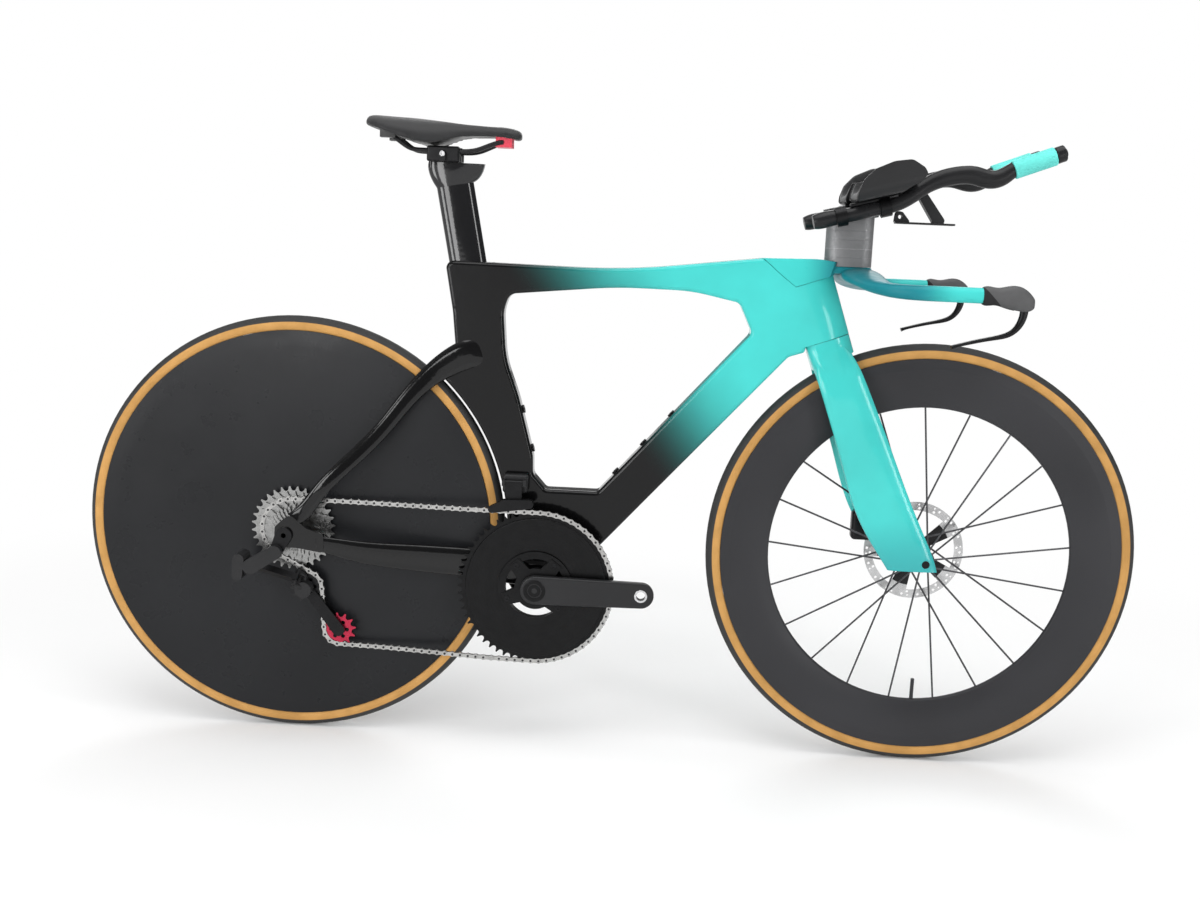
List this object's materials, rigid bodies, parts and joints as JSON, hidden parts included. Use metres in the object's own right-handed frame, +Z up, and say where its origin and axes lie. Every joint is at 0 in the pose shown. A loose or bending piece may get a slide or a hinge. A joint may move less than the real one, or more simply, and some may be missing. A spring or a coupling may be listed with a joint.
{
  "type": "time trial bike",
  "caption": "Time trial bike with aero frame, solid rear disc wheel, deep front rim, base bar with brake levers, arm rests on forward extensions, chain drive and shifting gears.",
  "frame": {"origin": "on the ground under the middle of the wheelbase, in the bike's middle plane", "axes": "+X forward, +Y to the rider's left, +Z up"},
  "size_m": [1.68, 0.406, 0.9902],
  "materials": {
    "frame_paint": "gloss",
    "fork_paint": "gloss",
    "black_paint": "gloss",
    "carbon_satin": "satin",
    "black_alloy": "satin",
    "grey_alloy": "satin",
    "silver_alloy": "polished",
    "steel": "polished",
    "rotor_steel": "ground",
    "tyre": "tan side walls with a black tread",
    "black_plastic": "satin",
    "grip_rubber": "teal, matt",
    "pad_foam": "matt foam",
    "saddle_cover": "synthetic cover",
    "spacer_grey": "satin",
    "pulley_red": "anodised crimson",
    "pad_metal": "sintered",
    "saddle_shell": "satin, red nose socket"
  },
  "bodies": {
    "frame": {"main_frame": "frame_paint", "seat_stays": "black_paint", "chain_stays": "black_paint", "headset_bearings": "steel", "bottom_bracket_bearings": "black_alloy", "bottle_bosses": "black_alloy", "seatpost_clamp": "black_alloy", "derailleur_hanger": "black_alloy", "rear_through_axle": "black_alloy", "rear_brake_caliper": "black_alloy", "front_derailleur_body": "black_plastic", "rear_derailleur_body": "black_plastic", "chain": "steel"},
    "steering": {"fork": "fork_paint", "front_through_axle": "black_alloy", "front_brake_caliper": "black_alloy", "base_bar": "fork_paint", "riser_spacers": "spacer_grey", "arm_rest_bridge": "black_alloy", "arm_cups": "black_plastic", "arm_pads": "pad_foam", "extension_bars": "carbon_satin", "extension_grips": "grip_rubber", "computer_mount": "black_plastic", "lever_hoods": "grey_alloy"},
    "front_wheel": {"front_tyre": "tyre", "front_rim": "carbon_satin", "front_spokes": "silver_alloy", "front_hub": "black_alloy", "front_rotor": "rotor_steel"},
    "rear_wheel": {"rear_tyre": "tyre", "rear_disc": "carbon_satin", "rear_hub": "black_alloy", "rear_rotor": "rotor_steel"},
    "cassette_group": {"cassette": "steel", "freehub_body": "grey_alloy"},
    "crankset": {"right_crank_arm": "black_alloy", "left_crank_arm": "black_alloy", "crank_spider": "black_alloy", "outer_chainring": "black_alloy", "inner_chainring": "black_alloy"},
    "seat": {"seatpost": "black_paint", "saddle_clamp": "black_alloy", "saddle_rails": "carbon_satin", "saddle_shell": "saddle_shell", "saddle_padding": "saddle_cover"},
    "front_shifter_cage": {"front_derailleur_cage": "black_alloy"},
    "shift_link": {"rear_derailleur_link": "black_alloy"},
    "shift_knuckle": {"rear_derailleur_knuckle": "black_plastic"},
    "tension_cage": {"rear_derailleur_cage": "black_alloy"},
    "guide_wheel": {"guide_pulley": "pulley_red"},
    "tension_wheel": {"tension_pulley": "pulley_red"},
    "right_lever": {"right_brake_lever": "black_alloy"},
    "left_lever": {"left_brake_lever": "black_alloy"},
    "right_button": {"right_shift_button": "black_plastic"},
    "left_button": {"left_shift_button": "black_plastic"},
    "front_pad_inner": {"front_brake_inner_pad": "pad_metal"},
    "front_pad_outer": {"front_brake_outer_pad": "pad_metal"},
    "rear_pad_inner": {"rear_brake_inner_pad": "pad_metal"},
    "rear_pad_outer": {"rear_brake_outer_pad": "pad_metal"}
  },
  "joints": [
    {"name": "steer", "type": "hinge", "parent": "frame", "child": "steering", "pos_m": [0.33258, 0, 0.67762], "axis": [-0.3256, 0, 0.9455], "range_deg": [-30, 30]},
    {"name": "front_wheel_spin", "type": "hinge", "parent": "steering", "child": "front_wheel", "pos_m": [0.501, 0, 0.339], "axis": [0, 1, 0], "continuous": true},
    {"name": "rear_wheel_spin", "type": "hinge", "parent": "frame", "child": "rear_wheel", "pos_m": [-0.501, 0, 0.339], "axis": [0, 1, 0], "continuous": true},
    {"name": "crank_spin", "type": "hinge", "parent": "frame", "child": "crankset", "pos_m": [-0.106, 0, 0.267], "axis": [0, 1, 0], "continuous": true, "deforming": ["chain"]},
    {"name": "cassette_spin", "type": "hinge", "parent": "frame", "child": "cassette_group", "pos_m": [-0.501, 0, 0.339], "axis": [0, 1, 0], "continuous": true},
    {"name": "shift_swing", "type": "hinge", "parent": "frame", "child": "shift_link", "pos_m": [-0.553, -0.066, 0.285], "axis": [0.0638, 0.7474, 0.6613], "range_deg": [-40.11, 9.17]},
    {"name": "knuckle_swing", "type": "hinge", "parent": "shift_link", "child": "shift_knuckle", "pos_m": [-0.489, -0.052, 0.263], "axis": [0.0638, 0.7474, 0.6613], "range_deg": [-9.74, 40.68]},
    {"name": "cage_swing", "type": "hinge", "parent": "shift_knuckle", "child": "tension_cage", "pos_m": [-0.477, -0.0393, 0.245], "axis": [0, 1, 0], "range_deg": [-20.05, 31.51], "stiffness_Nm_per_rad": 0.9},
    {"name": "guide_pulley_spin", "type": "hinge", "parent": "tension_cage", "child": "guide_wheel", "pos_m": [-0.477, -0.0322, 0.245], "axis": [0, 1, 0], "continuous": true},
    {"name": "tension_pulley_spin", "type": "hinge", "parent": "tension_cage", "child": "tension_wheel", "pos_m": [-0.42374, -0.0322, 0.17621], "axis": [0, 1, 0], "continuous": true},
    {"name": "front_shifter_swing", "type": "hinge", "parent": "frame", "child": "front_shifter_cage", "pos_m": [-0.146, -0.0424, 0.433], "axis": [1, 0, 0], "range_deg": [0, 10.5]},
    {"name": "right_brake_pull", "type": "hinge", "parent": "steering", "child": "right_lever", "pos_m": [0.577, -0.19, 0.749], "axis": [0, 1, 0], "range_deg": [0, 22.5], "stiffness_Nm_per_rad": 0.6, "springref_deg": -14.32},
    {"name": "left_brake_pull", "type": "hinge", "parent": "steering", "child": "left_lever", "pos_m": [0.577, 0.19, 0.749], "axis": [0, 1, 0], "range_deg": [0, 22.5], "stiffness_Nm_per_rad": 0.6, "springref_deg": -14.32},
    {"name": "right_shift_press", "type": "slide", "parent": "steering", "child": "right_button", "axis": [-0.9336, 0, -0.3584], "range_m": [0, 0.0012], "stiffness_N_per_m": 400},
    {"name": "left_shift_press", "type": "slide", "parent": "steering", "child": "left_button", "axis": [-0.9336, 0, -0.3584], "range_m": [0, 0.0012], "stiffness_N_per_m": 400},
    {"name": "seat_height", "type": "slide", "parent": "frame", "child": "seat", "axis": [-0.1908, 0, 0.9816], "range_m": [-0.035, 0.03]},
    {"name": "front_inner_pad_press", "type": "slide", "parent": "steering", "child": "front_pad_inner", "axis": [0, 1, 0], "range_m": [0, 0.00036]},
    {"name": "front_outer_pad_press", "type": "slide", "parent": "steering", "child": "front_pad_outer", "axis": [0, -1, 0], "range_m": [0, 0.00036]},
    {"name": "rear_inner_pad_press", "type": "slide", "parent": "frame", "child": "rear_pad_inner", "axis": [0, 1, 0], "range_m": [0, 0.00036]},
    {"name": "rear_outer_pad_press", "type": "slide", "parent": "frame", "child": "rear_pad_outer", "axis": [0, -1, 0], "range_m": [0, 0.00036]}
  ],
  "couplings": [
    {"joint": "cassette_spin", "follows": "crank_spin", "ratio": 2.5},
    {"joint": "guide_pulley_spin", "follows": "crank_spin", "ratio": -5},
    {"joint": "tension_pulley_spin", "follows": "crank_spin", "ratio": 5},
    {"joint": "knuckle_swing", "follows": "shift_swing", "ratio": -1},
    {"joint": "front_inner_pad_press", "follows": "left_brake_pull", "m_per_rad": 0.00089127},
    {"joint": "front_outer_pad_press", "follows": "left_brake_pull", "m_per_rad": 0.00089127},
    {"joint": "rear_inner_pad_press", "follows": "right_brake_pull", "m_per_rad": 0.00089127},
    {"joint": "rear_outer_pad_press", "follows": "right_brake_pull", "m_per_rad": 0.00089127}
  ]
}
